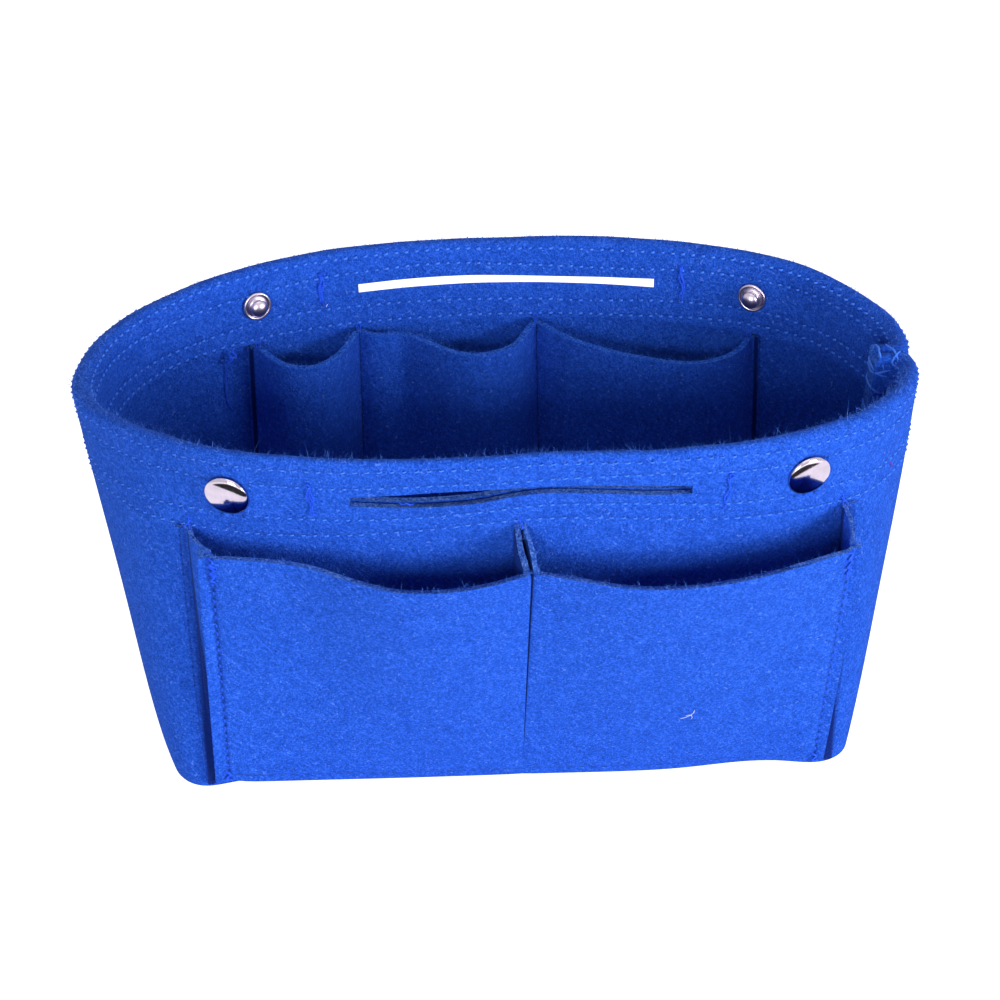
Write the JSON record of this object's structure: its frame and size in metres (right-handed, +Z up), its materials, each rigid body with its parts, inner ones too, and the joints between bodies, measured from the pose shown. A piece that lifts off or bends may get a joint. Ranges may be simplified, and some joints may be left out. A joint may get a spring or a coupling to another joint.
{
  "type": "felt cosmetic bag",
  "caption": "Open-topped oval cosmetic bag of thick pressed felt with sewn pockets inside and out, handle slots in the rim and press studs.",
  "frame": {"origin": "on the surface the bag stands on, under the middle of its bounding box", "axes": "+X along the length towards the end seam, -Y the front with the domed caps, +Z up"},
  "size_m": [0.2794, 0.196, 0.138],
  "materials": {
    "felt": "matte pressed wool-like felt, royal blue",
    "nickel": "polished nickel plate",
    "spring_steel": "bright spring wire"
  },
  "bodies": {
    "root": {"base_panel": "felt", "body_wrap": "felt", "front_pocket_strip": "felt", "back_pocket_strip": "felt", "inner_pocket_strip": "felt", "snap_cap_left": "nickel", "snap_socket_left": "nickel", "snap_stud_left": "nickel", "snap_eyelet_left": "nickel", "snap_cap_right": "nickel", "snap_socket_right": "nickel", "snap_stud_right": "nickel", "snap_eyelet_right": "nickel", "socket_spring_left": "spring_steel", "socket_spring_right": "spring_steel"}
  },
  "joints": []
}
